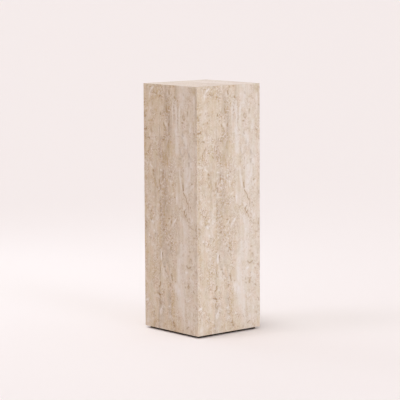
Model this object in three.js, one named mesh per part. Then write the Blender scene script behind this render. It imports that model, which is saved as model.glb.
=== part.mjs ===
// A tall square plinth in vein-cut travertine. Five slabs with mitred edges make a box, hollow and empty,
// that stands on a thin dark board. The board is set in from the faces, so a dark line shows above the floor.
// Millimetres, +Z up. The origin is the centre of the underside, and the front faces -Y.

import * as THREE from "three";
import { ConvexGeometry } from "three/addons/geometries/ConvexGeometry.js";

// Sizes in plan and height
const WIDTH = 300; // each side of the square plan
const STONE_HEIGHT = 896; // from the lower edge of the slabs to the top face
const BASE_HEIGHT = 8; // the dark board
const BASE_INSET = 13; // from the stone's faces in to the board's edges

// Sizes of the stonework
const SLAB = 20; // thickness of every slab
const ARRIS = 1.5; // how far an eased edge reaches along each of its two faces
const JOINT = 0.3; // resin line between two mitred faces

// Finishes
const TRAVERTINE = { color: 0xd9c8b8, roughness: 0.55, metalness: 0 };
const BLACK_BOARD = { color: 0x2b2420, roughness: 0.7, metalness: 0 };

// Half the resin line, measured along a slab's face.
const MITRE_SHIFT = JOINT / Math.SQRT2;
// Depth at which the eased edge of a slab runs into its mitre.
const EASE_DEPTH = (ARRIS - MITRE_SHIFT) / 2;

// A slab's sections, from its outer face inwards. At each depth the section stands back from the slab's outline
// by one distance on a side that is mitred, and by another on a side that is cut square.
const SECTIONS = [
  { depth: 0, mitred: ARRIS, square: ARRIS },
  { depth: EASE_DEPTH, mitred: EASE_DEPTH + MITRE_SHIFT, square: ARRIS - EASE_DEPTH },
  { depth: ARRIS, mitred: ARRIS + MITRE_SHIFT, square: 0 },
  { depth: SLAB, mitred: SLAB + MITRE_SHIFT, square: 0 },
];

// A slab that stands on z = 0 with its outer face on the plane y = 0, facing -Y. Its upper edge and its two
// upright edges are mitred, and lowerEdge says whether its lower edge is "mitred" or "square".
function slabGeometry(width, height, lowerEdge) {
  const points = [];
  for (const section of SECTIONS) {
    for (const side of [-1, 1]) {
      const x = side * (width / 2 - section.mitred);
      points.push(new THREE.Vector3(x, section.depth, section[lowerEdge]));
      points.push(new THREE.Vector3(x, section.depth, height - section.mitred));
    }
  }
  return new ConvexGeometry(points);
}

function namedMesh(name, geometry, finish) {
  const mesh = new THREE.Mesh(geometry, new THREE.MeshStandardMaterial(finish));
  mesh.name = name;
  return mesh;
}

// The slab of one upright face, turned about the middle of the plinth by a number of quarter turns.
function sideSlab(name, quarterTurns) {
  const mesh = namedMesh(name, slabGeometry(WIDTH, STONE_HEIGHT, "square"), TRAVERTINE);
  mesh.position.set(0, -WIDTH / 2, BASE_HEIGHT);
  const turned = new THREE.Group();
  turned.rotation.z = (quarterTurns * Math.PI) / 2;
  turned.add(mesh);
  return turned;
}

// The slab on top, made standing and then laid back so that its outer face looks up.
function topSlab() {
  const mesh = namedMesh("top_slab", slabGeometry(WIDTH, WIDTH, "mitred"), TRAVERTINE);
  mesh.rotation.x = -Math.PI / 2;
  mesh.position.set(0, -WIDTH / 2, BASE_HEIGHT + STONE_HEIGHT);
  return mesh;
}

// The board that carries the four upright slabs on its rim.
function recessedBase() {
  const side = WIDTH - 2 * BASE_INSET;
  const mesh = namedMesh("recessed_base", new THREE.BoxGeometry(side, side, BASE_HEIGHT), BLACK_BOARD);
  mesh.position.z = BASE_HEIGHT / 2;
  return mesh;
}

const plinth = new THREE.Group();
const sideNames = ["front_slab", "right_slab", "back_slab", "left_slab"];
sideNames.forEach((name, quarterTurns) => plinth.add(sideSlab(name, quarterTurns)));
plinth.add(topSlab(), recessedBase());

export default plinth;
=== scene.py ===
"""A tall square plinth in vein-cut travertine: five mitred slabs, hollow inside, on a thin dark board.

Lengths are in metres, except in the lists of marks, which are in millimetres. +Z is up, and the front faces
-Y. The upright slabs are slices of one block, so the same figure comes back on the faces side by side.
"""

import math
from dataclasses import dataclass

import bmesh
import bpy
import numpy as np
from mathutils import Matrix, Vector


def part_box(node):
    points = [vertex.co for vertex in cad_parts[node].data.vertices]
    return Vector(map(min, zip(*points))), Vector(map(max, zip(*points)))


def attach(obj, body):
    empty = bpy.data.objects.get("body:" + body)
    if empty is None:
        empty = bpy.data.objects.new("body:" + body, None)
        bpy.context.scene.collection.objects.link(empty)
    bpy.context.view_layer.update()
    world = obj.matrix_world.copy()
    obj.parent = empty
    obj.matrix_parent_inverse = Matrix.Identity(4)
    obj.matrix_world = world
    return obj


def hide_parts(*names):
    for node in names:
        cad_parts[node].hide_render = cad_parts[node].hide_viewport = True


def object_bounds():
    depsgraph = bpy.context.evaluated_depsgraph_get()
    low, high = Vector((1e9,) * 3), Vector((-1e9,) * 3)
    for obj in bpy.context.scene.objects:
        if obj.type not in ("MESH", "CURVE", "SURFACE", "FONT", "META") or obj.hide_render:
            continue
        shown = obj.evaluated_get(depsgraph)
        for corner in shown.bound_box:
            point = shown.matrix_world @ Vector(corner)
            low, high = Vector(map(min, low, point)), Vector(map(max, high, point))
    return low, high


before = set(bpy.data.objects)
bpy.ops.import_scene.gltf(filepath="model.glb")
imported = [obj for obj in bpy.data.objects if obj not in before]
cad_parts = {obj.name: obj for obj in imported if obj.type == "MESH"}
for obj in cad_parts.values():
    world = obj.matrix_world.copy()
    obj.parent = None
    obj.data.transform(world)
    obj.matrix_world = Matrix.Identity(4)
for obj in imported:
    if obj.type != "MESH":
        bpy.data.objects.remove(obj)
cad_box = [list(corner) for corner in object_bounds()]

MM = 0.001

# Directions
RIGHT = (1, 0, 0)
LEFT = (-1, 0, 0)
BACK = (0, 1, 0)
FRONT = (0, -1, 0)
UP = (0, 0, 1)
DOWN = (0, 0, -1)

# Sizes of the stone, from the frame
STONE_LOW = np.array([cad_box[0][0], cad_box[0][1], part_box("recessed_base")[1][2]])
STONE_HIGH = np.array(cad_box[1])
WIDTH = STONE_HIGH[0] - STONE_LOW[0]
HEIGHT = STONE_HIGH[2] - STONE_LOW[2]
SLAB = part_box("front_slab")[1][1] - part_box("front_slab")[0][1]

# Stonework. The resin line is how far each slab stays back from the middle of a joint.
ARRIS_RADIUS = 1.2 * MM
RESIN_LINE = 0.05 * MM
GRID_ACROSS = 1.5 * MM
GRID_UP = 2.2 * MM
STONE_SHARP_ANGLE = math.radians(55)

# Pits and cracks. The depth is that of a mark of strength 1, and it fades to nothing over the clear foot.
PIT_DEPTH = 0.8 * MM
CLEAR_FOOT = 3 * MM
PITS_ON_A_FACE = 420

# The pale middle of the figure, in millimetres across, and the share of random pits that is left out there
PALE_MIDDLE = (150, 215)
PITS_LEFT_OUT = 0.7

# How far the edges of the strokes stray
STREAK_WANDER = 2.5 * MM
TAN_WANDER = 3 * MM
PIT_WANDER = 0.8 * MM

# How much of a place's depth in its slab counts in the block's figure
DEPTH_SHARE = 0.05

# The board
BOARD_ARRIS = 0.8 * MM
BOARD_SHARP_ANGLE = math.radians(40)

# The photograph's camera, with its lens and its sensor in millimetres
CAMERA_PLACE = (-4.5138, -5.2966, 1.3532)
CAMERA_YAW = math.radians(40.378)
CAMERA_PITCH = math.radians(7.187)
CAMERA_ROLL = math.radians(-0.301)
CAMERA_LENS = 172.36
CAMERA_SENSOR = 36.0

# The floor
FLOOR_REACH = 100
FLOOR_COLOUR = (0.85, 0.82, 0.81, 1)
FLOOR_ROUGHNESS = 0.9

# Light of the room. It blends from the walls' to the ceiling's between two heights, where 1 is straight up.
WALL_LIGHT = (0.50, 0.44, 0.413, 1.0)
CEILING_LIGHT = (0.68, 0.63, 0.62, 1.0)
WALL_TOP = 0.2
CEILING_EDGE = 0.6

# Wide soft suns: name, azimuth and elevation, width in degrees, power and colour
SUNS = (
    ("above", (270, 84), 16, 0.94, (1.0, 0.96, 0.93)),
    ("left", (245, 52), 20, 0.34, (0.86, 0.84, 1.0)),
    ("front", (0, 8), 24, 1.33, (0.76, 0.86, 1.0)),
    ("low_behind", (150, 12), 24, 0.18, (1.0, 1.0, 1.0)),
)
SUN_DISTANCE = 5

# A soft lamp behind the plinth, its azimuth and elevation first
LAMP_PLACE = (185, 35)
LAMP_DISTANCE = 2.5
LAMP_SIZE = 1.0
LAMP_POWER = 8.5
LAMP_COLOUR = (0.81, 0.92, 1.0)

# Where a colour Mix node has its two colours and its result
FIRST_COLOUR, SECOND_COLOUR, MIXED_COLOUR = 6, 7, 2

# Colours, in a picture's hexadecimal digits
COLOURS = {
    "cream": "d6c4aa",
    "light_cream": "e2d6c8",
    "sand": "cbb084",
    "olive_tint": "cfc3a2",
    "rosy_tint": "dfc5ae",
    "grey_vein": "ae9b88",
    "tan_vein": "c6aa77",
    "brown_stain": "a2804f",
    "pale_vein": "e9e2dc",
    "thread": "a89274",
    "brown_speck": "b58b48",
    "white_speck": "eae3e1",
    "brown_line": "a2713a",
    "white_line": "f0ebe8",
    "grain": "b7a18b",
    "dirt": "a17d50",
    "deep_dirt": "785638",
    "fleck": "ece6e4",
    "board_paint": "140902",
    "worn_paint": "28150c",
}

# Marks of the figure that the slices share. Each is its half width, its strength and the points of its path,
# across and up from the lower left corner of a face.
GREY_STREAKS = (
    (12, 0.25, 128, 886, 132, 850), (8, 0.30, 107, 868, 118, 860, 128, 848),
    (16, 0.50, 135, 830, 132, 805, 139, 775, 145, 745, 141, 712), (5, 0.60, 147, 798, 146, 745, 143, 728),
    (4, 0.35, 170, 804, 168, 770), (14, 0.50, 136, 690, 128, 655, 118, 622),
    (7, 0.42, 94, 705, 91, 665, 92, 636), (4, 0.35, 93, 745, 92, 715),
    (23, 0.46, 110, 575, 120, 530, 124, 480, 116, 436), (5, 0.35, 124, 520, 122, 490, 121, 462),
    (13, 0.30, 106, 400, 112, 345, 114, 300), (18, 0.36, 122, 300, 126, 262),
    (14, 0.25, 68, 610, 66, 540, 70, 490), (4, 0.30, 90, 520, 93, 480),
    (9, 0.32, 104, 694, 100, 650, 102, 608), (5, 0.45, 93, 484, 95, 436), (5, 0.35, 95, 534, 96, 514),
    (20, 0.14, 160, 470, 165, 350), (13, 0.22, 150, 600, 150, 562), (6, 0.35, 294, 852, 295, 792),
    (3, 0.40, 174, 834, 173, 800, 174, 764), (3, 0.35, 192, 815, 193, 790, 194, 762),
    (8, 0.30, 184, 896, 186, 850), (4, 0.40, 221, 732, 222, 716, 219, 705),
    (3, 0.50, 205, 672, 209, 655, 219, 644, 228, 652, 232, 674, 234, 692), (3, 0.35, 200, 636, 213, 634),
    (3, 0.45, 249, 682, 247, 662, 254, 648, 266, 640, 262, 626, 251, 622), (3, 0.30, 260, 690, 266, 701),
    (4, 0.30, 213, 592, 215, 574), (4, 0.40, 255, 658, 256, 636), (4, 0.45, 256, 622, 255, 606),
    (4, 0.35, 110, 596, 106, 575), (5, 0.35, 100, 446, 102, 422, 96, 414),
    (3, 0.35, 119, 378, 134, 362, 150, 352), (9, 0.40, 128, 292, 130, 262),
    (3, 0.30, 190, 398, 197, 372, 196, 338), (4, 0.35, 66, 348, 60, 338), (10, 0.40, 142, 318, 146, 286),
    (4, 0.38, 92, 300, 88, 270, 89, 250, 88, 215, 88, 184), (4, 0.40, 100, 252, 106, 244, 121, 252),
    (4, 0.35, 137, 256, 140, 222), (3, 0.50, 110, 240, 121, 219, 133, 203, 144, 186),
    (5, 0.45, 104, 276, 106, 258), (5, 0.40, 112, 250, 120, 218), (5, 0.40, 142, 110, 140, 70),
    (2.5, 0.40, 139, 242, 144, 216, 152, 196), (3, 0.35, 118, 200, 127, 190), (6, 0.25, 10, 740, 8, 660),
    (4, 0.50, 84, 146, 86, 104, 83, 80, 83, 40, 84, 0), (8, 0.30, 138, 140, 142, 128),
    (14, 0.40, 99, 100, 98, 14), (9, 0.40, 142, 124, 140, 44),
    (4, 0.40, 142, 146, 146, 108, 147, 72, 150, 58), (6, 0.35, 52, 56, 50, 38), (4, 0.35, 17, 246, 15, 236),
    (9, 0.30, 8, 400, 10, 372, 14, 350), (3, 0.35, 58, 352, 72, 350), (4, 0.35, 146, 300, 176, 293),
    (6, 0.30, 20, 890, 18, 872), (6, 0.30, 60, 445, 64, 430), (7, 0.30, 290, 512, 290, 470),
    (5, 0.25, 290, 240, 288, 222), (7, 0.28, 292, 400, 292, 360), (7, 0.28, 292, 310, 290, 280),
    (6, 0.25, 293, 890, 292, 868), (20, 0.12, 284, 886, 236, 852), (14, 0.10, 22, 548, 50, 486),
    (11, 0.12, 200, 546, 204, 462),
)
TAN_STREAKS = (
    (24, 0.16, 40, 890, 30, 830, 24, 760, 20, 680, 24, 620), (5, 0.55, 97, 896, 87, 881, 79, 872),
    (7, 0.50, 64, 886, 72, 868, 78, 857), (4, 0.45, 60, 872, 50, 846, 40, 836, 28, 830, 27, 806, 15, 800),
    (4, 0.50, 52, 826, 44, 816), (4, 0.40, 64, 846, 72, 848), (4, 0.50, 94, 856, 102, 854),
    (9, 0.42, 69, 804, 70, 784), (9, 0.30, 66, 852, 60, 826), (4, 0.45, 5, 862, 5, 812),
    (10, 0.40, 140, 816, 142, 804), (4, 0.55, 249, 816, 248, 788),
    (5, 0.35, 180, 884, 180, 856, 190, 838, 195, 828), (3, 0.45, 172, 896, 164, 885, 161, 872),
    (9, 0.38, 262, 880, 288, 876), (3, 0.45, 276, 769, 285, 763, 282, 754), (5, 0.40, 290, 784, 294, 764),
    (6, 0.45, 226, 800, 232, 776), (8, 0.30, 126, 558, 142, 536), (3, 0.45, 258, 755, 272, 757),
    (5, 0.40, 252, 850, 268, 846), (6, 0.40, 28, 766, 44, 760, 56, 754), (6, 0.40, 50, 744, 30, 735),
    (5, 0.45, 250, 745, 252, 732, 240, 734, 224, 730), (3.5, 0.40, 254, 722, 262, 722),
    (5, 0.50, 152, 697, 156, 664, 161, 642), (6, 0.35, 132, 660, 128, 640, 136, 612),
    (8, 0.50, 113, 644, 111, 616), (5, 0.40, 30, 650, 16, 640, 6, 636), (5, 0.50, 4, 704, 4, 662),
    (6, 0.40, 12, 712, 14, 690), (4, 0.45, 40, 612, 47, 608), (4, 0.40, 95, 622, 87, 620),
    (6, 0.40, 140, 684, 136, 672), (6, 0.35, 170, 682, 172, 672), (6, 0.45, 62, 545, 56, 556, 36, 556),
    (5, 0.45, 68, 534, 66, 524), (5, 0.25, 74, 592, 74, 580), (11, 0.30, 92, 848, 112, 832),
    (8, 0.40, 8, 560, 16, 536), (6, 0.35, 85, 508, 82, 492), (5, 0.40, 104, 516, 112, 514),
    (5, 0.45, 95, 463, 80, 465), (4, 0.45, 165, 540, 170, 512, 176, 490), (9, 0.15, 182, 562, 184, 545),
    (4, 0.45, 198, 562, 200, 515), (5.5, 0.40, 213, 610, 219, 575, 221, 545, 223, 526),
    (5, 0.35, 224, 513, 232, 502, 240, 492, 246, 470), (6, 0.40, 8, 492, 10, 446),
    (5, 0.40, 12, 426, 14, 440), (4, 0.35, 254, 482, 252, 452), (8, 0.40, 88, 396, 88, 372, 88, 345),
    (3, 0.50, 33, 428, 42, 440, 50, 447), (5, 0.45, 36, 414, 40, 402), (3, 0.45, 172, 326, 177, 328),
    (6, 0.35, 92, 338, 94, 306), (6, 0.35, 112, 442, 115, 426),
    (3.5, 0.55, 230, 448, 225, 438, 230, 427, 239, 431), (6, 0.40, 242, 418, 250, 408),
    (5, 0.35, 5, 340, 6, 304), (10, 0.40, 20, 294, 18, 276), (6, 0.50, 68, 280, 75, 264, 79, 248),
    (5, 0.35, 42, 268, 42, 252), (14, 0.32, 44, 238, 34, 212, 40, 190), (5, 0.45, 92, 256, 92, 234),
    (13, 0.42, 166, 226, 174, 205, 178, 192), (5, 0.45, 62, 220, 66, 214), (5, 0.55, 8, 168, 10, 158),
    (7, 0.50, 244, 172, 238, 160, 242, 142), (6, 0.35, 188, 184, 194, 164), (5, 0.45, 5, 152, 8, 142),
    (4, 0.40, 202, 414, 200, 404), (6, 0.45, 294, 146, 294, 130), (5, 0.55, 251, 184, 250, 170),
    (5, 0.45, 256, 268, 262, 276), (4, 0.40, 238, 104, 244, 112, 256, 112), (5, 0.35, 98, 136, 100, 114),
    (12, 0.40, 164, 140, 166, 108), (7, 0.45, 155, 100, 163, 50, 174, 4), (8, 0.45, 204, 40, 198, 12),
    (6, 0.45, 270, 16, 262, 2), (8, 0.50, 238, 40, 240, 10), (9, 0.45, 224, 30, 216, 6),
    (5, 0.45, 262, 100, 266, 86), (7, 0.40, 186, 20, 190, 4), (3, 0.50, 256, 302, 266, 306),
    (3, 0.50, 275, 304, 286, 298), (4, 0.40, 26, 112, 30, 122), (5, 0.45, 63, 108, 72, 96),
    (6, 0.45, 116, 22, 108, 14), (9, 0.50, 64, 30, 52, 6), (6, 0.40, 44, 52, 40, 40),
    (13, 0.35, 146, 30, 152, 0), (6, 0.40, 5, 130, 4, 104), (4, 0.45, 64, 132, 54, 128),
    (6, 0.30, 60, 70, 62, 40), (15, 0.18, 12, 888, 10, 800, 12, 744), (13, 0.14, 72, 826, 74, 744),
    (13, 0.12, 236, 664, 248, 580),
)
BROWN_STREAKS = (
    (11, 0.34, 131, 815, 136, 800), (5, 0.30, 146, 815, 152, 808), (5, 0.35, 145, 768, 144, 748),
    (6, 0.45, 118, 748, 130, 722), (6, 0.45, 122, 714, 118, 692), (4, 0.45, 141, 696, 142, 640),
    (4, 0.40, 92, 530, 92, 500), (6, 0.40, 40, 732, 45, 720), (5, 0.40, 185, 842, 186, 822),
    (13, 0.42, 106, 640, 118, 628, 122, 612), (6, 0.30, 134, 640, 136, 618), (6, 0.60, 108, 580, 106, 556),
    (5, 0.40, 88, 548, 92, 534), (7, 0.35, 126, 524, 122, 498), (5, 0.35, 93, 468, 94, 446),
    (5, 0.36, 112, 396, 112, 376), (6, 0.40, 95, 314, 96, 306), (6, 0.30, 108, 340, 106, 326),
    (4, 0.45, 92, 172, 88, 158, 82, 150), (5, 0.40, 92, 100, 94, 86), (6, 0.45, 78, 132, 88, 128),
    (5, 0.35, 200, 296, 184, 286), (4, 0.45, 155, 208, 160, 188), (6, 0.35, 146, 176, 147, 168),
    (6, 0.30, 146, 136, 146, 126), (7, 0.45, 163, 34, 167, 24), (9, 0.30, 168, 22, 175, 4),
    (8, 0.35, 60, 26, 52, 6), (5, 0.40, 240, 246, 250, 240, 262, 247), (5, 0.30, 263, 274, 256, 264),
    (5, 0.35, 250, 186, 250, 172), (5, 0.45, 221, 545, 222, 524), (5, 0.35, 231, 430, 234, 426),
    (5, 0.35, 40, 673, 30, 657), (7, 0.45, 6, 732, 16, 731), (6, 0.40, 4, 790, 8, 772),
    (5, 0.40, 24, 702, 36, 698), (5, 0.25, 10, 712, 14, 695), (4, 0.30, 114, 708, 113, 696),
    (5, 0.30, 70, 870, 76, 858), (7, 0.35, 8, 386, 10, 368), (4, 0.40, 54, 582, 57, 564),
    (5, 0.45, 38, 613, 48, 610), (5, 0.35, 4, 656, 5, 640), (5, 0.35, 6, 556, 14, 546),
    (4, 0.35, 62, 552, 76, 520), (4, 0.40, 154, 404, 156, 396), (5, 0.30, 38, 412, 42, 398),
    (5, 0.30, 225, 792, 230, 774), (4, 0.35, 216, 765, 226, 762), (8, 0.18, 262, 882, 290, 878),
    (6, 0.35, 238, 22, 248, 30), (5, 0.30, 262, 12, 270, 2), (5, 0.25, 42, 736, 43, 720),
    (4, 0.28, 75, 696, 76, 684), (6, 0.20, 97, 846, 112, 828), (3, 0.35, 297, 860, 297, 782),
)
PALE_STREAKS = (
    (46, 0.28, 246, 900, 250, 700, 252, 500, 246, 300, 236, 150, 240, 0), (14, 0.35, 216, 892, 218, 832),
    (4, 0.50, 165, 840, 164, 775), (5, 0.60, 183, 838, 186, 800, 188, 760, 186, 735),
    (9, 0.60, 182, 742, 187, 710, 188, 680, 190, 655), (6, 0.40, 163, 880, 150, 860, 138, 866),
    (5, 0.65, 208, 828, 204, 798, 203, 775), (5, 0.40, 203, 765, 206, 720), (4, 0.40, 227, 874, 228, 850),
    (6, 0.50, 285, 858, 282, 836), (6, 0.50, 266, 767, 262, 736), (4, 0.45, 256, 776, 250, 792),
    (4, 0.45, 124, 758, 126, 750), (5, 0.50, 56, 886, 44, 878, 37, 860, 35, 848),
    (11, 0.32, 42, 812, 30, 784, 22, 766), (4, 0.45, 12, 803, 22, 806), (3, 0.40, 50, 786, 62, 788),
    (6, 0.40, 36, 712, 28, 704), (8, 0.25, 60, 712, 56, 690), (5, 0.45, 78, 690, 78, 682),
    (5, 0.50, 216, 670, 216, 655), (4, 0.50, 240, 694, 240, 670), (8, 0.30, 232, 710, 242, 690),
    (4, 0.45, 232, 625, 245, 636), (5, 0.50, 263, 616, 273, 603), (4, 0.55, 52, 612, 30, 606, 6, 612),
    (4, 0.45, 64, 618, 68, 596), (5, 0.40, 225, 716, 240, 706), (12, 0.28, 268, 664, 264, 610),
    (14, 0.45, 240, 600, 246, 560, 238, 520), (4, 0.60, 203, 600, 205, 560, 212, 528),
    (9, 0.28, 188, 540, 190, 500, 188, 470), (4, 0.50, 253, 562, 262, 590), (5, 0.55, 189, 497, 186, 470),
    (4, 0.50, 262, 527, 279, 541), (4, 0.40, 156, 544, 153, 534), (4, 0.45, 12, 540, 16, 536),
    (5, 0.40, 93, 535, 94, 496), (4, 0.45, 13, 496, 18, 492), (4, 0.45, 50, 487, 58, 485),
    (4, 0.45, 13, 453, 18, 452), (4, 0.45, 78, 460, 85, 456), (7, 0.45, 224, 464, 236, 452),
    (4, 0.40, 110, 528, 114, 526), (5, 0.50, 18, 406, 22, 402), (6, 0.35, 22, 425, 22, 412),
    (6, 0.45, 74, 432, 72, 404), (4, 0.42, 156, 382, 166, 398, 178, 410),
    (14, 0.48, 228, 408, 232, 386, 232, 364), (5, 0.45, 204, 430, 206, 418),
    (5, 0.55, 262, 432, 270, 422, 270, 412), (12, 0.36, 46, 372, 54, 358), (5, 0.45, 26, 344, 30, 338),
    (12, 0.45, 212, 320, 212, 300), (10, 0.45, 234, 322, 234, 292), (5, 0.45, 42, 306, 58, 310),
    (4, 0.45, 122, 326, 128, 320), (5, 0.50, 140, 306, 144, 308), (4, 0.45, 187, 346, 188, 332),
    (16, 0.30, 206, 282, 222, 262), (16, 0.52, 196, 262, 194, 200, 186, 150),
    (12, 0.52, 196, 150, 198, 104), (4, 0.50, 95, 290, 94, 256), (5, 0.40, 57, 276, 57, 258),
    (5, 0.30, 143, 352, 140, 328), (6, 0.30, 184, 440, 188, 415), (5, 0.40, 285, 64, 290, 58),
    (7, 0.30, 62, 292, 66, 282), (6, 0.35, 86, 272, 80, 250), (7, 0.25, 106, 224, 108, 200, 108, 180),
    (8, 0.30, 184, 602, 184, 562), (5, 0.35, 152, 560, 166, 562), (8, 0.22, 168, 636, 172, 610),
    (4, 0.40, 82, 592, 82, 556), (8, 0.35, 272, 190, 270, 160), (16, 0.28, 222, 214, 226, 140),
    (5, 0.50, 256, 204, 270, 200), (4, 0.45, 14, 170, 18, 166), (4, 0.45, 98, 160, 101, 156),
    (5, 0.40, 172, 170, 184, 162), (8, 0.40, 216, 120, 222, 70, 228, 20), (6, 0.60, 250, 50, 246, 36),
    (6, 0.55, 6, 96, 18, 101), (4, 0.45, 22, 80, 27, 84), (4, 0.50, 104, 120, 108, 106),
    (5, 0.55, 98, 82, 95, 62), (4, 0.55, 143, 92, 143, 87), (5, 0.35, 144, 56, 150, 50),
    (5, 0.45, 102, 92, 113, 84), (8, 0.40, 24, 26, 14, 20), (4, 0.40, 68, 124, 72, 120),
    (5, 0.45, 96, 20, 93, 6), (4, 0.45, 282, 44, 290, 50), (5, 0.40, 264, 92, 268, 70),
    (6, 0.40, 268, 225, 276, 238), (8, 0.30, 296, 688, 297, 640), (12, 0.16, 165, 612, 165, 566),
    (12, 0.14, 254, 112, 256, 16), (9, 0.18, 290, 176, 290, 84), (6, 0.18, 118, 716, 130, 702),
    (5, 0.22, 20, 601, 20, 588),
)

# Smaller marks: open pits and cracks with dirt in them, and white flecks.
DARK_MARKS = (
    (2.6, 0.85, 221, 540, 223, 521), (1.9, 0.85, 224, 512, 231, 503, 239, 495, 240, 484, 247, 474),
    (2.2, 0.50, 250, 479, 250, 450), (2.2, 0.80, 235, 454, 228, 444, 231, 434, 238, 426),
    (2.2, 0.60, 242, 437, 236, 430), (3.0, 0.75, 243, 417, 245, 414), (2.6, 0.55, 251, 409, 257, 408),
    (2.4, 0.60, 254, 397, 260, 393), (1.8, 0.45, 263, 392, 282, 382), (3.0, 0.85, 152, 892, 153, 888),
    (3.0, 0.60, 171, 893, 174, 891), (2.6, 0.85, 177, 857, 179, 849), (4.2, 0.65, 145, 876, 147, 862),
    (3.0, 0.50, 226, 868, 228, 862), (2.8, 0.50, 42, 866, 49, 865), (2.6, 0.50, 94, 855, 101, 855),
    (3.4, 0.60, 62, 866, 70, 862), (4.5, 0.60, 80, 892, 86, 890), (2.6, 0.85, 97, 796, 96, 788),
    (2.6, 0.60, 130, 812, 135, 797), (2.8, 0.50, 130, 837, 135, 837), (3.6, 0.80, 3, 788, 7, 776),
    (3.2, 0.90, 6, 729, 15, 731), (2.2, 0.55, 7, 709, 12, 709), (2.6, 0.55, 29, 763, 31, 762),
    (2.6, 0.55, 49, 768, 49, 762), (2.6, 0.50, 130, 775, 134, 775), (2.6, 0.75, 114, 757, 116, 750),
    (2.6, 0.75, 143, 757, 143, 750), (2.2, 0.55, 223, 790, 221, 780, 229, 774, 235, 779, 233, 788),
    (2.8, 0.75, 218, 764, 223, 763), (2.6, 0.65, 250, 804, 248, 790), (2.8, 0.50, 256, 890, 260, 889),
    (2.8, 0.65, 294, 819, 297, 818), (3.2, 0.50, 222, 721, 226, 716), (3.0, 0.65, 282, 730, 285, 727),
    (2.6, 0.45, 238, 735, 245, 734), (2.4, 0.65, 122, 743, 124, 741), (2.4, 0.55, 130, 733, 131, 731),
    (2.6, 0.90, 113, 708, 119, 709), (2.6, 0.85, 110, 697, 114, 696), (2.2, 0.55, 101, 708, 101, 702),
    (2.2, 0.75, 42, 677, 36, 668, 30, 660), (3.2, 0.60, 25, 701, 34, 698), (2.4, 0.50, 255, 655, 257, 640),
    (2.6, 0.60, 256, 622, 256, 611), (2.8, 0.75, 90, 664, 94, 664), (2.6, 0.75, 90, 640, 93, 639),
    (2.6, 0.65, 73, 643, 77, 637), (2.6, 0.50, 265, 604, 269, 602), (2.6, 0.50, 295, 703, 296, 693),
    (3.2, 0.95, 53, 582, 55, 578), (2.8, 0.65, 53, 567, 56, 565), (2.6, 0.80, 109, 574, 108, 558),
    (2.6, 0.60, 88, 545, 88, 534), (4.0, 0.70, 95, 530, 95, 516), (2.4, 0.60, 75, 521, 80, 518),
    (2.8, 0.65, 155, 584, 158, 582), (2.2, 0.50, 162, 537, 164, 535), (1.8, 0.55, 167, 514, 174, 513),
    (1.8, 0.65, 172, 492, 179, 491), (2.8, 0.65, 9, 489, 9, 481), (2.8, 0.65, 7, 463, 7, 459),
    (2.6, 0.65, 262, 464, 262, 461), (2.8, 0.65, 294, 504, 294, 496), (2.6, 0.55, 294, 570, 295, 560),
    (2.6, 0.55, 267, 548, 272, 547), (2.2, 0.60, 97, 424, 89, 416), (2.6, 0.65, 38, 400, 42, 396),
    (2.2, 0.50, 42, 434, 34, 422), (2.2, 0.75, 139, 412, 146, 412), (2.6, 0.65, 154, 422, 157, 420),
    (2.4, 0.55, 154, 404, 156, 400), (2.6, 0.75, 126, 389, 130, 386), (2.8, 0.95, 105, 367, 114, 369),
    (2.8, 0.65, 10, 387, 15, 384), (2.6, 0.65, 7, 374, 12, 372), (2.6, 0.65, 280, 355, 286, 354),
    (2.8, 0.55, 292, 393, 292, 382), (2.8, 0.55, 291, 334, 295, 333), (2.2, 0.55, 27, 335, 33, 334),
    (2.6, 0.55, 93, 328, 97, 328), (2.8, 0.75, 147, 310, 153, 307), (2.8, 0.55, 255, 303, 261, 302),
    (2.0, 0.75, 104, 286, 102, 274, 104, 262, 111, 260), (2.6, 0.55, 154, 290, 158, 277),
    (2.6, 0.55, 248, 288, 250, 286), (2.6, 0.60, 260, 277, 264, 276), (2.6, 0.50, 266, 271, 265, 266),
    (2.6, 0.80, 238, 250, 250, 241, 256, 246, 262, 248), (3.2, 0.65, 289, 233, 294, 231),
    (2.6, 0.55, 274, 222, 278, 220), (2.4, 0.65, 255, 207, 253, 204), (2.2, 0.85, 111, 233, 116, 232),
    (2.4, 0.75, 117, 221, 123, 215), (2.6, 0.60, 89, 226, 90, 218),
    (2.8, 0.65, 153, 212, 157, 200, 160, 187), (2.6, 0.55, 174, 186, 178, 184),
    (2.2, 0.55, 73, 181, 75, 181), (2.8, 0.85, 90, 172, 92, 163, 83, 157),
    (2.8, 0.85, 73, 132, 82, 128, 89, 127), (3.0, 0.60, 147, 174, 145, 164),
    (3.0, 0.55, 229, 190, 229, 184), (2.6, 0.65, 230, 172, 234, 170), (3.0, 0.70, 249, 180, 248, 169),
    (2.0, 0.60, 275, 161, 282, 155), (2.6, 0.50, 245, 143, 248, 141), (2.2, 0.55, 84, 110, 84, 97, 92, 93),
    (2.2, 0.65, 101, 76, 105, 75), (2.6, 0.55, 5, 91, 9, 89), (3.0, 0.95, 162, 33, 166, 31),
    (2.4, 0.65, 165, 22, 172, 20, 177, 26), (2.6, 0.65, 153, 8, 157, 8), (2.6, 0.50, 115, 21, 118, 19),
    (2.4, 0.50, 276, 79, 276, 74), (2.2, 0.55, 276, 59, 281, 55), (2.4, 0.50, 218, 50, 218, 46),
    (2.4, 0.60, 238, 21, 249, 28), (2.2, 0.50, 288, 110, 294, 106, 295, 98),
)
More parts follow.
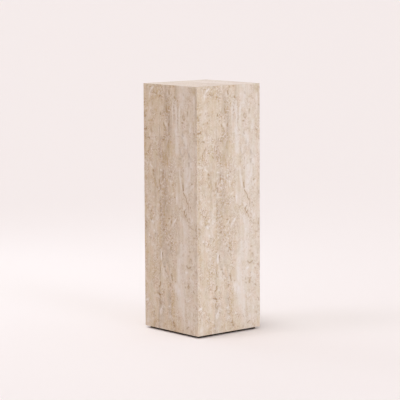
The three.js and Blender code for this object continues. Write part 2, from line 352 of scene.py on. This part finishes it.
WHITE_FLECKS = (
    (3.6, 0.62, 57, 884, 46, 880, 38, 871, 35, 859), (2.0, 0.90, 144, 805, 151, 804),
    (2.2, 0.85, 44, 660, 48, 659), (2.8, 1.00, 37, 601, 48, 593), (2.0, 0.95, 94, 586, 106, 585),
    (2.2, 0.65, 103, 567, 92, 561), (2.2, 0.95, 149, 549, 155, 548), (2.4, 0.55, 111, 529, 114, 527),
    (2.4, 0.75, 170, 508, 159, 501), (2.0, 0.85, 130, 466, 135, 466), (2.6, 0.50, 185, 493, 189, 488),
    (2.0, 0.55, 27, 484, 35, 484), (4.6, 0.98, 44, 394, 52, 388, 54, 394), (2.4, 0.65, 51, 413, 53, 412),
    (2.8, 0.85, 179, 412, 176, 405), (1.8, 0.75, 151, 410, 144, 398, 136, 394),
    (2.6, 0.60, 164, 396, 159, 385), (2.0, 0.75, 53, 361, 59, 360), (2.6, 0.60, 73, 359, 76, 354),
    (2.2, 0.65, 26, 340, 31, 340), (2.2, 0.90, 97, 284, 95, 258), (4.4, 0.95, 235, 226, 241, 226),
    (2.0, 0.75, 45, 225, 49, 225), (2.0, 0.75, 44, 207, 48, 206), (2.2, 0.65, 116, 199, 118, 192),
    (2.0, 0.65, 126, 204, 134, 196), (2.2, 0.95, 138, 88, 143, 90), (3.4, 0.65, 93, 74, 87, 66, 91, 56),
    (2.0, 0.75, 149, 56, 152, 55), (2.0, 0.65, 143, 50, 147, 49), (3.2, 0.65, 8, 97, 17, 100),
    (2.4, 0.85, 43, 35, 48, 33), (2.0, 0.55, 49, 84, 52, 83), (2.0, 0.60, 239, 119, 249, 123, 259, 128),
    (2.2, 0.50, 273, 420, 268, 410), (2.0, 0.50, 47, 66, 51, 65),
)


def smooth_noise(across, up, lump_across, lump_up, seed):
    """A smooth random field from -1 to 1 with lumps of the given size, which comes back after 256 lumps."""
    cells = 256
    values = np.random.default_rng(seed).uniform(-1, 1, (cells, cells))
    x, y = across / lump_across, up / lump_up
    column, row = np.floor(x).astype(int), np.floor(y).astype(int)
    fx, fy = x - column, y - row
    fx, fy = fx * fx * (3 - 2 * fx), fy * fy * (3 - 2 * fy)

    def corner(right, above):
        return values[(row + above) % cells, (column + right) % cells]

    lower = corner(0, 0) * (1 - fx) + corner(1, 0) * fx
    upper = corner(0, 1) * (1 - fx) + corner(1, 1) * fx
    return lower * (1 - fy) + upper * fy


def distance_to_path(across, up, points):
    """How far each place is from a path of straight stretches."""
    nearest = np.full(across.shape, np.inf)
    for (u0, v0), (u1, v1) in zip(points[:-1], points[1:]):
        du, dv = u1 - u0, v1 - v0
        along = np.clip(((across - u0) * du + (up - v0) * dv) / (du * du + dv * dv), 0, 1)
        nearest = np.minimum(nearest, np.hypot(across - u0 - along * du, up - v0 - along * dv))
    return nearest


def painted(across, up, marks, wander):
    """A field that is 0 but for a soft stroke along each mark's path, uneven in strength and edge."""
    lump_across, lump_up = 4 * wander, 7 * wander
    u = across + wander * smooth_noise(across, up, lump_across, lump_up, seed=11)
    v = up + wander * smooth_noise(across, up, lump_across, lump_up, seed=12)
    field = np.zeros(across.shape)
    for half_width, strength, *path in marks:
        points = np.array(path, float).reshape(-1, 2) * MM
        reach = 2.5 * half_width * MM + wander
        low, high = points.min(axis=0) - reach, points.max(axis=0) + reach
        rows = slice(*np.searchsorted(up[:, 0], (low[1], high[1])))
        columns = slice(*np.searchsorted(across[-1], (low[0], high[0])))
        away = distance_to_path(u[rows, columns], v[rows, columns], points) / (half_width * MM)
        field[rows, columns] = 1 - (1 - field[rows, columns]) * (1 - strength * np.exp(-(away**2)))
    return field * (1 + 0.35 * smooth_noise(across, up, 7 * MM, 10 * MM, seed=13))


def scattered_pits(seed, count, width_mm, height_mm):
    """Small pits of random size and place, fewer over the pale middle of the figure."""
    rng = np.random.default_rng(seed)
    pits = []
    while len(pits) < count:
        u, v = rng.uniform(0, width_mm), rng.uniform(0, height_mm)
        if PALE_MIDDLE[0] < u < PALE_MIDDLE[1] and rng.uniform() < PITS_LEFT_OUT:
            continue
        half_height = rng.uniform(0.3, 2.2)
        half_width, strength = rng.uniform(0.9, 1.9), rng.uniform(0.2, 0.5)
        slant = rng.uniform(-1, 1)
        pits.append((half_width, strength, u, v - half_height, u + slant, v + half_height))
    return tuple(pits)


@dataclass
class Slab:
    """A slab's place and its share of the figure.

    The corner is the lower left one seen from outside, and across, up and inward are the directions from
    there. Slice depth says how far the slice lies behind the first one in the block. Veining is the strength
    of the streaks, and shade and wash are how much grey and pale lie all over the slab. Only a marked slab
    has the dark and white marks of the photograph, and a turned one has the figure upside down.
    """

    name: str
    corner: tuple
    across: tuple
    up: tuple
    inward: tuple
    height: float
    slice_depth: float
    pit_seed: int
    veining: float
    shade: float = 0.0
    wash: float = 0.0
    marked: bool = False
    turned: bool = False

    def __post_init__(self):
        self.foot_is_square = self.up == UP
        self.corner, self.across, self.up, self.inward = map(
            np.array, (self.corner, self.across, self.up, self.inward)
        )

    def place(self, across, up, depth):
        """Places on the slab, from their distances across it, up it and into it."""
        return self.corner + across * self.across + up * self.up + depth * self.inward


def eased_lines(length, step):
    """Grid lines along a side: close together over the eased edges at both ends, then evenly spaced."""
    near = np.array([RESIN_LINE, ARRIS_RADIUS / 3, ARRIS_RADIUS * 2 / 3])
    count = round((length - 2 * ARRIS_RADIUS) / step)
    middle = np.linspace(ARRIS_RADIUS, length - ARRIS_RADIUS, count + 1)
    return np.concatenate([near, middle, length - near[::-1]])


def nominal_grid(slab):
    """Across, up and depth of the grid over a slab's outer face before its edges are eased.

    Where the foot is cut square, the first rows run under it and come forward to the face.
    """
    rows = eased_lines(slab.height, GRID_UP)
    depths = np.zeros(len(rows))
    if slab.foot_is_square:
        under = ARRIS_RADIUS * np.array([1, 2 / 3, 1 / 3])
        rows = np.concatenate([np.zeros(len(under) + 1), rows[1:]])
        depths = np.concatenate([under, np.zeros(len(rows) - len(under))])
    columns = eased_lines(WIDTH, GRID_ACROSS)
    share = (columns - columns[0]) / (columns[-1] - columns[0])
    mitre = depths[:, None] + RESIN_LINE
    across = mitre + share[None, :] * (WIDTH - 2 * mitre)
    up = np.repeat(rows[:, None], len(columns), axis=1)
    depth = np.repeat(depths[:, None], len(columns), axis=1)
    return across, up, depth


def figure_fields(slab, across, up):
    """The strength of each kind of mark over a slab's face."""
    if slab.turned:
        across, up = WIDTH - across[::-1, ::-1], slab.height - up[::-1, ::-1]
    dark_marks = scattered_pits(slab.pit_seed, PITS_ON_A_FACE, WIDTH / MM, slab.height / MM)
    white_marks = ()
    if slab.marked:
        dark_marks += DARK_MARKS
        white_marks += WHITE_FLECKS
    fields = {
        "grey": slab.shade + slab.veining * painted(across, up, GREY_STREAKS, STREAK_WANDER),
        "tan": slab.veining * painted(across, up, TAN_STREAKS, TAN_WANDER),
        "brown": slab.veining * painted(across, up, BROWN_STREAKS, STREAK_WANDER),
        "pale": slab.wash + (1 - slab.wash) * painted(across, up, PALE_STREAKS, STREAK_WANDER),
        "dark": painted(across, up, dark_marks, PIT_WANDER),
        "white": painted(across, up, white_marks, PIT_WANDER),
    }
    if slab.turned:
        fields = {kind: field[::-1, ::-1] for kind, field in fields.items()}
    return fields


def eased(points, relief):
    """Moves points of the stone's box onto the same box with round edges, sunk by the relief."""
    core = np.clip(points, STONE_LOW + ARRIS_RADIUS, STONE_HIGH - ARRIS_RADIUS)
    out = points - core
    out /= np.linalg.norm(out, axis=-1, keepdims=True)
    return core + out * (ARRIS_RADIUS - relief)[..., None]


def slab_faces(rows, columns):
    """Quads over the grid, then triangles from its rim to the four inner corners, and the inner face."""
    number = np.arange(rows * columns).reshape(rows, columns)
    quads = np.stack([number[:-1, :-1], number[:-1, 1:], number[1:, 1:], number[1:, :-1]], -1).reshape(-1, 4)
    inner = rows * columns + np.arange(4)
    rims = (number[0], number[:, -1], number[-1, ::-1], number[::-1, 0])
    faces = quads.tolist()
    for side, rim in enumerate(rims):
        start, end = int(inner[side]), int(inner[(side + 1) % 4])
        faces += [[int(b), int(a), end] for a, b in zip(rim[:-1], rim[1:])]
        faces.append([int(rim[0]), start, end])
    faces.append([int(i) for i in inner[::-1]])
    return faces


def add_object(name, data):
    """Puts a mesh, a light or a camera in the scene as an object."""
    new = bpy.data.objects.new(name, data)
    bpy.context.collection.objects.link(new)
    return new


def add_attribute(mesh, name, values):
    """Gives each point of the mesh a number, or a vector of three."""
    kind, key = ("FLOAT_VECTOR", "vector") if values.ndim == 2 else ("FLOAT", "value")
    mesh.attributes.new(name, kind, "POINT").data.foreach_set(key, values.astype(np.float32).ravel())


def make_slab(slab, material):
    """The dressed mesh of a slab: a fine face with its pits sunk in, mitred sides and a plain back."""
    across, up, depth = nominal_grid(slab)
    fields = figure_fields(slab, across, up)
    clear_of_foot = np.clip(up / CLEAR_FOOT, 0, 1) if slab.foot_is_square else 1
    relief = PIT_DEPTH * fields["dark"] ** 1.5 * clear_of_foot
    flat = slab.place(across[..., None], up[..., None], depth[..., None])
    outer = eased(flat, relief).reshape(-1, 3)

    mitred = SLAB + RESIN_LINE
    foot = 0 if slab.foot_is_square else mitred
    left, right, top = mitred, WIDTH - mitred, slab.height - mitred
    inner_places = [(left, foot), (right, foot), (right, top), (left, top)]
    inner = [slab.place(u, v, SLAB) for u, v in inner_places]

    mesh = bpy.data.meshes.new(slab.name + "_stone")
    mesh.from_pydata(np.vstack([outer, inner]).tolist(), [], slab_faces(*across.shape))
    mesh.shade_smooth()
    mesh.set_sharp_from_angle(angle=STONE_SHARP_ANGLE)
    mesh.materials.append(material)

    in_block = np.stack([across, up, depth], -1).reshape(-1, 3)
    in_block = np.vstack([in_block, [(u, v, SLAB) for u, v in inner_places]])
    if slab.turned:
        in_block[:, :2] = [WIDTH, slab.height] - in_block[:, :2]
    in_block[:, 2] = slab.slice_depth + DEPTH_SHARE * in_block[:, 2]
    add_attribute(mesh, "stone", in_block)
    for kind, field in fields.items():
        add_attribute(mesh, kind, np.append(field.ravel(), np.zeros(len(inner))))

    piece = add_object(slab.name + "_stone", mesh)
    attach(piece, "root")
    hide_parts(slab.name)


def linear(hex_colour):
    """A picture's colour as the shader's linear numbers."""
    shares = [int(hex_colour[i : i + 2], 16) / 255 for i in (0, 2, 4)]
    return [s / 12.92 if s <= 0.04045 else ((s + 0.055) / 1.055) ** 2.4 for s in shares] + [1]


class Nodes:
    """Adds nodes to a new material. A value is a number, a vector, a colour's name or a node's output."""

    def __init__(self, name):
        self.material = bpy.data.materials.new(name)
        self.material.use_nodes = True
        self.tree = self.material.node_tree
        self.shader = self.tree.nodes["Principled BSDF"]

    def feed(self, socket, value):
        """Sets a socket to a value."""
        if isinstance(value, bpy.types.NodeSocket):
            self.tree.links.new(value, socket)
        else:
            socket.default_value = linear(COLOURS[value]) if isinstance(value, str) else value

    def attribute(self, name, output="Fac"):
        """What the mesh says at each point under this name."""
        node = self.tree.nodes.new("ShaderNodeAttribute")
        node.attribute_name = name
        return node.outputs[output]

    def calc(self, operation, first, second=0.0, clamp=False):
        """One step of arithmetic on numbers. A clamped result stays between 0 and 1."""
        node = self.tree.nodes.new("ShaderNodeMath")
        node.operation, node.use_clamp = operation, clamp
        self.feed(node.inputs[0], first)
        self.feed(node.inputs[1], second)
        return node.outputs[0]

    def vector_calc(self, operation, *vectors):
        """One step of arithmetic on vectors."""
        node = self.tree.nodes.new("ShaderNodeVectorMath")
        node.operation = operation
        for socket, vector in zip(node.inputs, vectors):
            self.feed(socket, vector)
        return node.outputs[0]

    def noise(self, vector, scale, detail=4, roughness=0.55, output="Fac"):
        """Smooth noise from 0 to 1. The scale is how many lumps a metre has in each direction."""
        node = self.tree.nodes.new("ShaderNodeTexNoise")
        self.feed(node.inputs["Vector"], self.vector_calc("MULTIPLY", vector, scale))
        node.inputs["Scale"].default_value = 1
        node.inputs["Detail"].default_value = detail
        node.inputs["Roughness"].default_value = roughness
        return node.outputs[output]

    def warped(self, vector, scale, amount):
        """The vector moved about by smooth noise of that scale, by an amount in each direction."""
        noise = self.noise(vector, scale, detail=3, roughness=0.5, output="Color")
        centred = self.vector_calc("SUBTRACT", noise, (0.5, 0.5, 0.5))
        return self.vector_calc("MULTIPLY_ADD", centred, amount, vector)

    def band(self, value, middle, reach):
        """1 where the value is at the middle, falling to 0 at a reach from it."""
        away = self.calc("ABSOLUTE", self.calc("SUBTRACT", value, middle))
        return self.ranged(away, reach, 0.3 * reach)

    def ranged(self, value, low, high, to_low=0.0, to_high=1.0):
        """The value's range from low to high stretched onto another, and cut off at its ends."""
        node = self.tree.nodes.new("ShaderNodeMapRange")
        self.feed(node.inputs["Value"], value)
        for name, number in (("From Min", low), ("From Max", high), ("To Min", to_low), ("To Max", to_high)):
            node.inputs[name].default_value = number
        return node.outputs["Result"]

    def mixed(self, share, first, second):
        """The first colour with a share of the second one over it."""
        node = self.tree.nodes.new("ShaderNodeMix")
        node.data_type = "RGBA"
        self.feed(node.inputs[0], share)
        self.feed(node.inputs[FIRST_COLOUR], first)
        self.feed(node.inputs[SECOND_COLOUR], second)
        return node.outputs[MIXED_COLOUR]

    def bumped(self, height, distance):
        """Shades the surface as if a height of 1 stood out by the distance."""
        node = self.tree.nodes.new("ShaderNodeBump")
        node.inputs["Distance"].default_value = distance
        self.feed(node.inputs["Height"], height)
        self.feed(self.shader.inputs["Normal"], node.outputs[0])


def travertine():
    """Honed vein-cut travertine: streaked cream stone with grey, tan and pale veins, small pores and flecks.

    Its noise and its streaks lie in the block that the slabs are cut from. Specks and short wriggling lines
    crowd together in busy zones, and the pale veins are calm.
    """
    nodes = Nodes("travertine")
    place = nodes.warped(nodes.attribute("stone", "Vector"), (55, 28, 55), (0.007, 0.009, 0.007))
    grey, pale, dark = nodes.attribute("grey"), nodes.attribute("pale"), nodes.attribute("dark")
    zones = nodes.ranged(nodes.noise(place, (22, 13, 22), 2), 0.45, 0.58, 0.3, 1.0)
    busy = nodes.calc("MULTIPLY", nodes.ranged(pale, 0.05, 0.5, 1.0, 0.3), zones)

    # The ground
    veins = nodes.noise(place, (85, 6, 60), 4, 0.6)
    clouds = nodes.noise(place, (42, 30, 42), 3, 0.6)
    tints = nodes.noise(place, (36, 22, 36), 2)
    colour = nodes.mixed(nodes.ranged(veins, 0.36, 0.64), "cream", "light_cream")
    colour = nodes.mixed(nodes.ranged(clouds, 0.48, 0.72, 0, 0.4), colour, "sand")
    colour = nodes.mixed(nodes.ranged(tints, 0.5, 0.66, 0, 0.35), colour, "olive_tint")
    colour = nodes.mixed(nodes.ranged(tints, 0.5, 0.34, 0, 0.35), colour, "rosy_tint")

    # The streaks, and fine threads that run along the grey ones
    streaked = nodes.calc("MULTIPLY", grey, nodes.ranged(veins, 0.62, 0.38, 0.65, 1.2))
    colour = nodes.mixed(streaked, colour, "grey_vein")
    colour = nodes.mixed(nodes.attribute("tan"), colour, "tan_vein")
    colour = nodes.mixed(nodes.attribute("brown"), colour, "brown_stain")
    colour = nodes.mixed(pale, colour, "pale_vein")
    threads = nodes.ranged(nodes.noise(place, (240, 10, 200), 3, 0.6), 0.5, 0.66)
    threads = nodes.calc("MULTIPLY", threads, nodes.ranged(grey, 0, 0.6, 0.1, 0.4))
    colour = nodes.mixed(threads, colour, "thread")

    # Specks and wriggling lines
    mottle = nodes.noise(place, (200, 150, 200), 3, 0.65)
    brown_specks = nodes.calc("MULTIPLY", busy, nodes.ranged(mottle, 0.5, 0.64, 0, 0.44))
    white_specks = nodes.calc("MULTIPLY", busy, nodes.ranged(mottle, 0.48, 0.36, 0, 0.44))
    colour = nodes.mixed(brown_specks, colour, "brown_speck")
    colour = nodes.mixed(white_specks, colour, "white_speck")
    wriggle = nodes.noise(place, (120, 88, 120), 1.5)
    brown_lines = nodes.calc("MULTIPLY", nodes.band(wriggle, 0.5, 0.045), busy)
    white_lines = nodes.calc("MULTIPLY", nodes.band(wriggle, 0.56, 0.045), busy)
    colour = nodes.mixed(nodes.calc("MULTIPLY", brown_lines, 0.55), colour, "brown_line")
    colour = nodes.mixed(nodes.calc("MULTIPLY", white_lines, 0.45), colour, "white_line")
    grain = nodes.noise(place, (1100, 700, 1100), 3, 0.6)
    colour = nodes.mixed(nodes.ranged(grain, 0.35, 0.75, 0, 0.2), colour, "grain")

    # Dirt in the pits and cracks, and white flecks
    colour = nodes.mixed(nodes.ranged(dark, 0.05, 0.9, 0, 0.75), colour, "dirt")
    colour = nodes.mixed(nodes.ranged(dark, 0.75, 1.0, 0, 0.4), colour, "deep_dirt")
    colour = nodes.mixed(nodes.calc("MULTIPLY", nodes.attribute("white"), 0.65), colour, "fleck")
    nodes.feed(nodes.shader.inputs["Base Color"], colour)

    # The surface: rougher in the dirt, and a little hollow along the brown lines
    sheen = nodes.ranged(grain, 0.3, 0.7, 0.46, 0.6)
    roughness = nodes.calc("ADD", sheen, nodes.calc("MULTIPLY", dark, 0.3), clamp=True)
    nodes.feed(nodes.shader.inputs["Roughness"], roughness)
    height = nodes.calc("SUBTRACT", nodes.calc("MULTIPLY", grain, 0.25), brown_lines)
    nodes.bumped(height, 0.4 * MM)
    return nodes.material


def painted_board():
    """Board with flat black-brown paint, a little worn."""
    nodes = Nodes("black_board")
    place = nodes.tree.nodes.new("ShaderNodeTexCoord").outputs["Object"]
    wear = nodes.noise(place, (30, 30, 200), 5, 0.6)
    nodes.feed(nodes.shader.inputs["Base Color"], nodes.mixed(wear, "board_paint", "worn_paint"))
    fibres = nodes.noise(place, (400, 400, 900), 3)
    nodes.feed(nodes.shader.inputs["Roughness"], nodes.ranged(fibres, 0.3, 0.7, 0.6, 0.8))
    nodes.feed(nodes.shader.inputs["Specular IOR Level"], 0.25)
    nodes.bumped(fibres, 0.1 * MM)
    return nodes.material


def make_board(material):
    """The recessed board, with its edges eased."""
    low, high = (np.array(corner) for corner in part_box("recessed_base"))
    shape = bmesh.new()
    bmesh.ops.create_cube(shape, size=1)
    bmesh.ops.scale(shape, vec=high - low, verts=shape.verts)
    bmesh.ops.translate(shape, vec=(low + high) / 2, verts=shape.verts)
    bmesh.ops.bevel(shape, geom=shape.edges[:], offset=BOARD_ARRIS, segments=3, profile=0.5, affect="EDGES")
    mesh = bpy.data.meshes.new("painted_board")
    shape.to_mesh(mesh)
    shape.free()
    mesh.shade_smooth()
    mesh.set_sharp_from_angle(angle=BOARD_SHARP_ANGLE)
    mesh.materials.append(material)
    piece = add_object("painted_board", mesh)
    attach(piece, "root")
    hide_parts("recessed_base")


def make_camera():
    """The photograph's camera, fitted to its corners."""
    data = bpy.data.cameras.new("camera")
    data.lens, data.sensor_width = CAMERA_LENS, CAMERA_SENSOR
    camera = add_object("camera", data)
    turn = Matrix.Rotation(-CAMERA_YAW, 4, "Z")
    turn @= Matrix.Rotation(math.pi / 2 - CAMERA_PITCH, 4, "X")
    turn @= Matrix.Rotation(CAMERA_ROLL, 4, "Z")
    camera.matrix_world = Matrix.Translation(CAMERA_PLACE) @ turn
    bpy.context.scene.camera = camera


def make_floor():
    """A pale matt floor so wide that its far edge is the horizon."""
    mesh = bpy.data.meshes.new("floor")
    corners = [(x * FLOOR_REACH, y * FLOOR_REACH, 0) for x, y in ((-1, -1), (1, -1), (1, 1), (-1, 1))]
    mesh.from_pydata(corners, [], [(0, 1, 2, 3)])
    nodes = Nodes("floor")
    nodes.feed(nodes.shader.inputs["Base Color"], FLOOR_COLOUR)
    nodes.feed(nodes.shader.inputs["Roughness"], FLOOR_ROUGHNESS)
    mesh.materials.append(nodes.material)
    floor = add_object("floor", mesh)


def direction_to(azimuth, elevation):
    """The direction towards a light. Azimuth 0 is in front of the plinth, and 90 to its right."""
    turn = Matrix.Rotation(math.radians(azimuth), 4, "Z") @ Matrix.Rotation(-math.radians(elevation), 4, "X")
    return turn @ Vector((0, -1, 0))


def add_light(name, kind, towards, distance, power, colour):
    """Adds a light at a distance from the middle of the plinth, turned towards it, and returns its data."""
    data = bpy.data.lights.new(name, kind)
    data.energy, data.color = power, colour
    light = add_object(name, data)
    light.location = Vector((0, 0, HEIGHT / 2)) + towards * distance
    light.rotation_euler = (-towards).to_track_quat("-Z", "Y").to_euler()
    return data


def make_room():
    """A world that lights the scene softly: dimmer near the horizon, brighter overhead."""
    world = bpy.data.worlds.new("room")
    bpy.context.scene.world = world
    world.use_nodes = True
    tree = world.node_tree
    place = tree.nodes.new("ShaderNodeTexCoord")
    split = tree.nodes.new("ShaderNodeSeparateXYZ")
    height = tree.nodes.new("ShaderNodeMapRange")
    height.interpolation_type = "SMOOTHSTEP"
    height.inputs["From Min"].default_value = WALL_TOP
    height.inputs["From Max"].default_value = CEILING_EDGE
    blend = tree.nodes.new("ShaderNodeMix")
    blend.data_type = "RGBA"
    blend.inputs[FIRST_COLOUR].default_value = WALL_LIGHT
    blend.inputs[SECOND_COLOUR].default_value = CEILING_LIGHT
    tree.links.new(place.outputs["Generated"], split.inputs[0])
    tree.links.new(split.outputs["Z"], height.inputs["Value"])
    tree.links.new(height.outputs["Result"], blend.inputs[0])
    tree.links.new(blend.outputs[MIXED_COLOUR], tree.nodes["Background"].inputs["Color"])


def make_lights():
    """The wide suns, and the lamp behind the plinth."""
    for name, (azimuth, elevation), width, power, colour in SUNS:
        sun = add_light(name, "SUN", direction_to(azimuth, elevation), SUN_DISTANCE, power, colour)
        sun.angle = math.radians(width)
    lamp = add_light("behind", "AREA", direction_to(*LAMP_PLACE), LAMP_DISTANCE, LAMP_POWER, LAMP_COLOUR)
    lamp.size = LAMP_SIZE


def make_plinth():
    """The five slabs and the board. The two upright faces in the photograph are the marked ones."""
    low, high = STONE_LOW, STONE_HIGH
    slabs = (
        Slab("left_slab", (low[0], high[1], low[2]), FRONT, UP, RIGHT, HEIGHT,
             slice_depth=0.0, pit_seed=100, veining=1.05, shade=0.05, marked=True),
        Slab("front_slab", (low[0], low[1], low[2]), RIGHT, UP, BACK, HEIGHT,
             slice_depth=0.001, pit_seed=100, veining=0.76, wash=0.05, marked=True),
        Slab("right_slab", (high[0], low[1], low[2]), BACK, UP, LEFT, HEIGHT,
             slice_depth=0.002, pit_seed=102, veining=0.9, wash=0.05, turned=True),
        Slab("back_slab", (high[0], high[1], low[2]), LEFT, UP, FRONT, HEIGHT,
             slice_depth=0.003, pit_seed=103, veining=1.0, turned=True),
        Slab("top_slab", (low[0], low[1], high[2]), RIGHT, BACK, DOWN, WIDTH,
             slice_depth=0.5, pit_seed=600, veining=0.25, shade=0.44, wash=0.45),
    )
    stone = travertine()
    for slab in slabs:
        make_slab(slab, stone)
    make_board(painted_board())


make_plinth()
make_floor()
make_room()
make_lights()
make_camera()
bpy.context.scene.view_settings.view_transform = "Standard"
